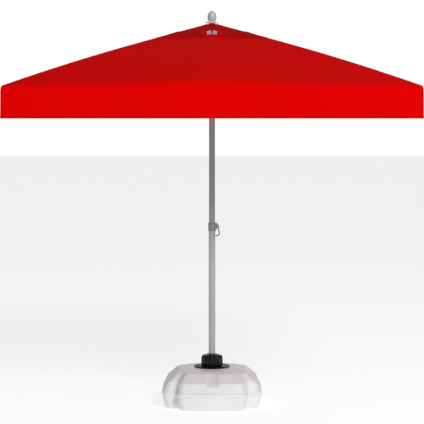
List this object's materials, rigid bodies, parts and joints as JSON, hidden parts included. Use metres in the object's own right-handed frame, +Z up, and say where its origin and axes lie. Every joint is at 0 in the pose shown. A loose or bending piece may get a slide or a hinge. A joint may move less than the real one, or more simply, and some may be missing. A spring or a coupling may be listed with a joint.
{
  "type": "patio umbrella with base",
  "caption": "Square market umbrella with a flat valance and vent roof, on a two-piece pole in a fillable plastic base with a clamp knob; opens, folds and adjusts in height.",
  "frame": {"origin": "centre of the base's underside, on the ground", "axes": "+Z up along the pole; -Y towards the front side of the canopy; +X to the right, the side of the lock lever"},
  "size_m": [2.0126, 2.0126, 2.1052],
  "materials": {
    "base_plastic": "satin",
    "black_plastic": "gloss",
    "lower_tube": "satin",
    "upper_tube": "satin",
    "lock_plastic": "satin",
    "frame_metal": "satin",
    "frame_plastic": "satin",
    "washer_plastic": "satin",
    "roof_cloth": "matte",
    "valance_cloth": "matte"
  },
  "bodies": {
    "base": {"base_shell": "base_plastic", "base_socket": "black_plastic"},
    "knob": {"clamp_knob": "black_plastic"},
    "filler": {"fill_cap": "base_plastic"},
    "lower_pole": {"pole_lower": "lower_tube", "lock_collar": "lock_plastic"},
    "lever": {"lock_lever": "lock_plastic"},
    "upper_pole": {"pole_upper": "upper_tube", "hub": "frame_plastic", "finial": "frame_plastic", "finial_washer": "washer_plastic"},
    "runner": {"runner": "frame_plastic"},
    "rib_1": {"rib_1": "frame_metal"},
    "stretcher_1": {"stretcher_1": "frame_metal"},
    "roof_1a": {"roof_1a": "roof_cloth"},
    "valance_1a": {"valance_1a": "valance_cloth"},
    "roof_1b": {"roof_1b": "roof_cloth"},
    "valance_1b": {"valance_1b": "valance_cloth"},
    "rib_2": {"rib_2": "frame_metal"},
    "stretcher_2": {"stretcher_2": "frame_metal"},
    "roof_2a": {"roof_2a": "roof_cloth"},
    "valance_2a": {"valance_2a": "valance_cloth"},
    "roof_2b": {"roof_2b": "roof_cloth"},
    "valance_2b": {"valance_2b": "valance_cloth"},
    "rib_3": {"rib_3": "frame_metal"},
    "stretcher_3": {"stretcher_3": "frame_metal"},
    "roof_3a": {"roof_3a": "roof_cloth"},
    "valance_3a": {"valance_3a": "valance_cloth"},
    "roof_3b": {"roof_3b": "roof_cloth"},
    "valance_3b": {"valance_3b": "valance_cloth"},
    "rib_4": {"rib_4": "frame_metal"},
    "stretcher_4": {"stretcher_4": "frame_metal"},
    "roof_4a": {"roof_4a": "roof_cloth"},
    "valance_4a": {"valance_4a": "valance_cloth"},
    "roof_4b": {"roof_4b": "roof_cloth"},
    "valance_4b": {"valance_4b": "valance_cloth"},
    "rib_5": {"rib_5": "frame_metal"},
    "stretcher_5": {"stretcher_5": "frame_metal"},
    "roof_5a": {"roof_5a": "roof_cloth"},
    "valance_5a": {"valance_5a": "valance_cloth"},
    "roof_5b": {"roof_5b": "roof_cloth"},
    "valance_5b": {"valance_5b": "valance_cloth"},
    "rib_6": {"rib_6": "frame_metal"},
    "stretcher_6": {"stretcher_6": "frame_metal"},
    "roof_6a": {"roof_6a": "roof_cloth"},
    "valance_6a": {"valance_6a": "valance_cloth"},
    "roof_6b": {"roof_6b": "roof_cloth"},
    "valance_6b": {"valance_6b": "valance_cloth"},
    "rib_7": {"rib_7": "frame_metal"},
    "stretcher_7": {"stretcher_7": "frame_metal"},
    "roof_7a": {"roof_7a": "roof_cloth"},
    "valance_7a": {"valance_7a": "valance_cloth"},
    "roof_7b": {"roof_7b": "roof_cloth"},
    "valance_7b": {"valance_7b": "valance_cloth"},
    "rib_8": {"rib_8": "frame_metal"},
    "stretcher_8": {"stretcher_8": "frame_metal"},
    "roof_8a": {"roof_8a": "roof_cloth"},
    "valance_8a": {"valance_8a": "valance_cloth"},
    "roof_8b": {"roof_8b": "roof_cloth"},
    "valance_8b": {"valance_8b": "valance_cloth"}
  },
  "joints": [
    {"name": "knob_turn", "type": "hinge", "parent": "base", "child": "knob", "pos_m": [0, 0, 0.24], "axis": [0, 0, 1], "range_deg": [0, 270]},
    {"name": "filler_turn", "type": "hinge", "parent": "base", "child": "filler", "pos_m": [0, 0.1325, 0.21], "axis": [0, 0, 1], "range_deg": [0, 270]},
    {"name": "pole_lift", "type": "slide", "parent": "base", "child": "lower_pole", "axis": [0, 0, 1], "range_m": [0, 0.3]},
    {"name": "lever_swing", "type": "hinge", "parent": "lower_pole", "child": "lever", "pos_m": [0.034, 0, 0.958], "axis": [0, -1, 0], "range_deg": [0, 50], "stiffness_Nm_per_rad": 0.2, "springref_deg": -8.59},
    {"name": "height_adjust", "type": "slide", "parent": "lower_pole", "child": "upper_pole", "axis": [0, 0, 1], "range_m": [-0.1, 0.12]},
    {"name": "canopy_fold", "type": "hinge", "parent": "upper_pole", "child": "rib_1", "pos_m": [0, -0.038, 2.018], "axis": [1, 0, 0], "range_deg": [0, 70]},
    {"name": "stretcher_1_fold", "type": "hinge", "parent": "rib_1", "child": "stretcher_1", "pos_m": [0, -0.46947, 1.89019], "axis": [1, 0, 0], "range_deg": [-140, 0]},
    {"name": "runner_level", "type": "hinge", "parent": "stretcher_1", "child": "runner", "pos_m": [0, -0.038, 1.76237], "axis": [1, 0, 0], "range_deg": [0, 70]},
    {"name": "roof_1a_fold", "type": "hinge", "parent": "rib_1", "child": "roof_1a", "pos_m": [0, -1, 1.71443], "axis": [0, -0.9507, -0.31], "range_deg": [0, 69.88], "deforming": ["roof_1a"]},
    {"name": "valance_1a_fold", "type": "hinge", "parent": "roof_1a", "child": "valance_1a", "pos_m": [0, -1, 1.71443], "axis": [-0.9996, 0, 0.0267], "range_deg": [0, 71.96], "deforming": ["valance_1a"]},
    {"name": "roof_1b_fold", "type": "hinge", "parent": "rib_1", "child": "roof_1b", "pos_m": [0, -1, 1.71443], "axis": [0, 0.9507, 0.31], "range_deg": [0, 69.88], "deforming": ["roof_1b"]},
    {"name": "valance_1b_fold", "type": "hinge", "parent": "roof_1b", "child": "valance_1b", "pos_m": [0, -1, 1.71443], "axis": [-0.9996, 0, -0.0267], "range_deg": [0, 71.96], "deforming": ["valance_1b"]},
    {"name": "rib_2_fold", "type": "hinge", "parent": "upper_pole", "child": "rib_2", "pos_m": [0.02687, -0.02687, 2.018], "axis": [0.7071, 0.7071, 0], "range_deg": [0, 70]},
    {"name": "stretcher_2_fold", "type": "hinge", "parent": "rib_2", "child": "stretcher_2", "pos_m": [0.33196, -0.33196, 1.89019], "axis": [0.7071, 0.7071, 0], "range_deg": [-140, 0]},
    {"name": "roof_2a_fold", "type": "hinge", "parent": "rib_2", "child": "roof_2a", "pos_m": [1, -1, 1.6877], "axis": [0.6864, -0.6864, -0.24], "range_deg": [0, 61.76], "deforming": ["roof_2a"]},
    {"name": "valance_2a_fold", "type": "hinge", "parent": "roof_2a", "child": "valance_2a", "pos_m": [1, -1, 1.6877], "axis": [0, -0.9996, -0.0267], "range_deg": [0, 72.12], "deforming": ["valance_2a"]},
    {"name": "roof_2b_fold", "type": "hinge", "parent": "rib_2", "child": "roof_2b", "pos_m": [1, -1, 1.6877], "axis": [-0.6864, 0.6864, 0.24], "range_deg": [0, 61.76], "deforming": ["roof_2b"]},
    {"name": "valance_2b_fold", "type": "hinge", "parent": "roof_2b", "child": "valance_2b", "pos_m": [1, -1, 1.6877], "axis": [-0.9996, 0, 0.0267], "range_deg": [0, 72.12], "deforming": ["valance_2b"]},
    {"name": "rib_3_fold", "type": "hinge", "parent": "upper_pole", "child": "rib_3", "pos_m": [0.038, 0, 2.018], "axis": [0, 1, 0], "range_deg": [0, 70]},
    {"name": "stretcher_3_fold", "type": "hinge", "parent": "rib_3", "child": "stretcher_3", "pos_m": [0.46947, 0, 1.89019], "axis": [0, 1, 0], "range_deg": [-140, 0]},
    {"name": "roof_3a_fold", "type": "hinge", "parent": "rib_3", "child": "roof_3a", "pos_m": [1, 0, 1.71443], "axis": [0.9507, 0, -0.31], "range_deg": [0, 69.88], "deforming": ["roof_3a"]},
    {"name": "valance_3a_fold", "type": "hinge", "parent": "roof_3a", "child": "valance_3a", "pos_m": [1, 0, 1.71443], "axis": [0, -0.9996, 0.0267], "range_deg": [0, 71.96], "deforming": ["valance_3a"]},
    {"name": "roof_3b_fold", "type": "hinge", "parent": "rib_3", "child": "roof_3b", "pos_m": [1, 0, 1.71443], "axis": [-0.9507, 0, 0.31], "range_deg": [0, 69.88], "deforming": ["roof_3b"]},
    {"name": "valance_3b_fold", "type": "hinge", "parent": "roof_3b", "child": "valance_3b", "pos_m": [1, 0, 1.71443], "axis": [0, -0.9996, -0.0267], "range_deg": [0, 71.96], "deforming": ["valance_3b"]},
    {"name": "rib_4_fold", "type": "hinge", "parent": "upper_pole", "child": "rib_4", "pos_m": [0.02687, 0.02687, 2.018], "axis": [-0.7071, 0.7071, 0], "range_deg": [0, 70]},
    {"name": "stretcher_4_fold", "type": "hinge", "parent": "rib_4", "child": "stretcher_4", "pos_m": [0.33196, 0.33196, 1.89019], "axis": [-0.7071, 0.7071, 0], "range_deg": [-140, 0]},
    {"name": "roof_4a_fold", "type": "hinge", "parent": "rib_4", "child": "roof_4a", "pos_m": [1, 1, 1.6877], "axis": [0.6864, 0.6864, -0.24], "range_deg": [0, 61.76], "deforming": ["roof_4a"]},
    {"name": "valance_4a_fold", "type": "hinge", "parent": "roof_4a", "child": "valance_4a", "pos_m": [1, 1, 1.6877], "axis": [0.9996, 0, -0.0267], "range_deg": [0, 72.12], "deforming": ["valance_4a"]},
    {"name": "roof_4b_fold", "type": "hinge", "parent": "rib_4", "child": "roof_4b", "pos_m": [1, 1, 1.6877], "axis": [-0.6864, -0.6864, 0.24], "range_deg": [0, 61.76], "deforming": ["roof_4b"]},
    {"name": "valance_4b_fold", "type": "hinge", "parent": "roof_4b", "child": "valance_4b", "pos_m": [1, 1, 1.6877], "axis": [0, -0.9996, 0.0267], "range_deg": [0, 72.12], "deforming": ["valance_4b"]},
    {"name": "rib_5_fold", "type": "hinge", "parent": "upper_pole", "child": "rib_5", "pos_m": [0, 0.038, 2.018], "axis": [-1, 0, 0], "range_deg": [0, 70]},
    {"name": "stretcher_5_fold", "type": "hinge", "parent": "rib_5", "child": "stretcher_5", "pos_m": [0, 0.46947, 1.89019], "axis": [-1, 0, 0], "range_deg": [-140, 0]},
    {"name": "roof_5a_fold", "type": "hinge", "parent": "rib_5", "child": "roof_5a", "pos_m": [0, 1, 1.71443], "axis": [0, 0.9507, -0.31], "range_deg": [0, 69.88], "deforming": ["roof_5a"]},
    {"name": "valance_5a_fold", "type": "hinge", "parent": "roof_5a", "child": "valance_5a", "pos_m": [0, 1, 1.71443], "axis": [0.9996, 0, 0.0267], "range_deg": [0, 71.96], "deforming": ["valance_5a"]},
    {"name": "roof_5b_fold", "type": "hinge", "parent": "rib_5", "child": "roof_5b", "pos_m": [0, 1, 1.71443], "axis": [0, -0.9507, 0.31], "range_deg": [0, 69.88], "deforming": ["roof_5b"]},
    {"name": "valance_5b_fold", "type": "hinge", "parent": "roof_5b", "child": "valance_5b", "pos_m": [0, 1, 1.71443], "axis": [0.9996, 0, -0.0267], "range_deg": [0, 71.96], "deforming": ["valance_5b"]},
    {"name": "rib_6_fold", "type": "hinge", "parent": "upper_pole", "child": "rib_6", "pos_m": [-0.02687, 0.02687, 2.018], "axis": [-0.7071, -0.7071, 0], "range_deg": [0, 70]},
    {"name": "stretcher_6_fold", "type": "hinge", "parent": "rib_6", "child": "stretcher_6", "pos_m": [-0.33196, 0.33196, 1.89019], "axis": [-0.7071, -0.7071, 0], "range_deg": [-140, 0]},
    {"name": "roof_6a_fold", "type": "hinge", "parent": "rib_6", "child": "roof_6a", "pos_m": [-1, 1, 1.6877], "axis": [-0.6864, 0.6864, -0.24], "range_deg": [0, 61.76], "deforming": ["roof_6a"]},
    {"name": "valance_6a_fold", "type": "hinge", "parent": "roof_6a", "child": "valance_6a", "pos_m": [-1, 1, 1.6877], "axis": [0, 0.9996, -0.0267], "range_deg": [0, 72.12], "deforming": ["valance_6a"]},
    {"name": "roof_6b_fold", "type": "hinge", "parent": "rib_6", "child": "roof_6b", "pos_m": [-1, 1, 1.6877], "axis": [0.6864, -0.6864, 0.24], "range_deg": [0, 61.76], "deforming": ["roof_6b"]},
    {"name": "valance_6b_fold", "type": "hinge", "parent": "roof_6b", "child": "valance_6b", "pos_m": [-1, 1, 1.6877], "axis": [0.9996, 0, 0.0267], "range_deg": [0, 72.12], "deforming": ["valance_6b"]},
    {"name": "rib_7_fold", "type": "hinge", "parent": "upper_pole", "child": "rib_7", "pos_m": [-0.038, 0, 2.018], "axis": [0, -1, 0], "range_deg": [0, 70]},
    {"name": "stretcher_7_fold", "type": "hinge", "parent": "rib_7", "child": "stretcher_7", "pos_m": [-0.46947, 0, 1.89019], "axis": [0, -1, 0], "range_deg": [-140, 0]},
    {"name": "roof_7a_fold", "type": "hinge", "parent": "rib_7", "child": "roof_7a", "pos_m": [-1, 0, 1.71443], "axis": [-0.9507, 0, -0.31], "range_deg": [0, 69.88], "deforming": ["roof_7a"]},
    {"name": "valance_7a_fold", "type": "hinge", "parent": "roof_7a", "child": "valance_7a", "pos_m": [-1, 0, 1.71443], "axis": [0, 0.9996, 0.0267], "range_deg": [0, 71.96], "deforming": ["valance_7a"]},
    {"name": "roof_7b_fold", "type": "hinge", "parent": "rib_7", "child": "roof_7b", "pos_m": [-1, 0, 1.71443], "axis": [0.9507, 0, 0.31], "range_deg": [0, 69.88], "deforming": ["roof_7b"]},
    {"name": "valance_7b_fold", "type": "hinge", "parent": "roof_7b", "child": "valance_7b", "pos_m": [-1, 0, 1.71443], "axis": [0, 0.9996, -0.0267], "range_deg": [0, 71.96], "deforming": ["valance_7b"]},
    {"name": "rib_8_fold", "type": "hinge", "parent": "upper_pole", "child": "rib_8", "pos_m": [-0.02687, -0.02687, 2.018], "axis": [0.7071, -0.7071, 0], "range_deg": [0, 70]},
    {"name": "stretcher_8_fold", "type": "hinge", "parent": "rib_8", "child": "stretcher_8", "pos_m": [-0.33196, -0.33196, 1.89019], "axis": [0.7071, -0.7071, 0], "range_deg": [-140, 0]},
    {"name": "roof_8a_fold", "type": "hinge", "parent": "rib_8", "child": "roof_8a", "pos_m": [-1, -1, 1.6877], "axis": [-0.6864, -0.6864, -0.24], "range_deg": [0, 61.76], "deforming": ["roof_8a"]},
    {"name": "valance_8a_fold", "type": "hinge", "parent": "roof_8a", "child": "valance_8a", "pos_m": [-1, -1, 1.6877], "axis": [-0.9996, 0, -0.0267], "range_deg": [0, 72.12], "deforming": ["valance_8a"]},
    {"name": "roof_8b_fold", "type": "hinge", "parent": "rib_8", "child": "roof_8b", "pos_m": [-1, -1, 1.6877], "axis": [0.6864, 0.6864, 0.24], "range_deg": [0, 61.76], "deforming": ["roof_8b"]},
    {"name": "valance_8b_fold", "type": "hinge", "parent": "roof_8b", "child": "valance_8b", "pos_m": [-1, -1, 1.6877], "axis": [0, 0.9996, 0.0267], "range_deg": [0, 72.12], "deforming": ["valance_8b"]}
  ],
  "couplings": [
    {"joint": "stretcher_1_fold", "follows": "canopy_fold", "ratio": -2},
    {"joint": "runner_level", "follows": "canopy_fold", "ratio": 1},
    {"joint": "roof_1a_fold", "follows": "canopy_fold", "ratio": 0.9981},
    {"joint": "valance_1a_fold", "follows": "canopy_fold", "ratio": 1.0278},
    {"joint": "roof_1b_fold", "follows": "canopy_fold", "ratio": 0.9981},
    {"joint": "valance_1b_fold", "follows": "canopy_fold", "ratio": 1.0278},
    {"joint": "rib_2_fold", "follows": "canopy_fold", "ratio": 1},
    {"joint": "stretcher_2_fold", "follows": "canopy_fold", "ratio": -2},
    {"joint": "roof_2a_fold", "follows": "canopy_fold", "ratio": 0.88218},
    {"joint": "valance_2a_fold", "follows": "canopy_fold", "ratio": 1.0301},
    {"joint": "roof_2b_fold", "follows": "canopy_fold", "ratio": 0.88218},
    {"joint": "valance_2b_fold", "follows": "canopy_fold", "ratio": 1.0301},
    {"joint": "rib_3_fold", "follows": "canopy_fold", "ratio": 1},
    {"joint": "stretcher_3_fold", "follows": "canopy_fold", "ratio": -2},
    {"joint": "roof_3a_fold", "follows": "canopy_fold", "ratio": 0.9981},
    {"joint": "valance_3a_fold", "follows": "canopy_fold", "ratio": 1.0278},
    {"joint": "roof_3b_fold", "follows": "canopy_fold", "ratio": 0.9981},
    {"joint": "valance_3b_fold", "follows": "canopy_fold", "ratio": 1.0278},
    {"joint": "rib_4_fold", "follows": "canopy_fold", "ratio": 1},
    {"joint": "stretcher_4_fold", "follows": "canopy_fold", "ratio": -2},
    {"joint": "roof_4a_fold", "follows": "canopy_fold", "ratio": 0.88218},
    {"joint": "valance_4a_fold", "follows": "canopy_fold", "ratio": 1.0301},
    {"joint": "roof_4b_fold", "follows": "canopy_fold", "ratio": 0.88218},
    {"joint": "valance_4b_fold", "follows": "canopy_fold", "ratio": 1.0301},
    {"joint": "rib_5_fold", "follows": "canopy_fold", "ratio": 1},
    {"joint": "stretcher_5_fold", "follows": "canopy_fold", "ratio": -2},
    {"joint": "roof_5a_fold", "follows": "canopy_fold", "ratio": 0.9981},
    {"joint": "valance_5a_fold", "follows": "canopy_fold", "ratio": 1.0278},
    {"joint": "roof_5b_fold", "follows": "canopy_fold", "ratio": 0.9981},
    {"joint": "valance_5b_fold", "follows": "canopy_fold", "ratio": 1.0278},
    {"joint": "rib_6_fold", "follows": "canopy_fold", "ratio": 1},
    {"joint": "stretcher_6_fold", "follows": "canopy_fold", "ratio": -2},
    {"joint": "roof_6a_fold", "follows": "canopy_fold", "ratio": 0.88218},
    {"joint": "valance_6a_fold", "follows": "canopy_fold", "ratio": 1.0301},
    {"joint": "roof_6b_fold", "follows": "canopy_fold", "ratio": 0.88218},
    {"joint": "valance_6b_fold", "follows": "canopy_fold", "ratio": 1.0301},
    {"joint": "rib_7_fold", "follows": "canopy_fold", "ratio": 1},
    {"joint": "stretcher_7_fold", "follows": "canopy_fold", "ratio": -2},
    {"joint": "roof_7a_fold", "follows": "canopy_fold", "ratio": 0.9981},
    {"joint": "valance_7a_fold", "follows": "canopy_fold", "ratio": 1.0278},
    {"joint": "roof_7b_fold", "follows": "canopy_fold", "ratio": 0.9981},
    {"joint": "valance_7b_fold", "follows": "canopy_fold", "ratio": 1.0278},
    {"joint": "rib_8_fold", "follows": "canopy_fold", "ratio": 1},
    {"joint": "stretcher_8_fold", "follows": "canopy_fold", "ratio": -2},
    {"joint": "roof_8a_fold", "follows": "canopy_fold", "ratio": 0.88218},
    {"joint": "valance_8a_fold", "follows": "canopy_fold", "ratio": 1.0301},
    {"joint": "roof_8b_fold", "follows": "canopy_fold", "ratio": 0.88218},
    {"joint": "valance_8b_fold", "follows": "canopy_fold", "ratio": 1.0301}
  ]
}
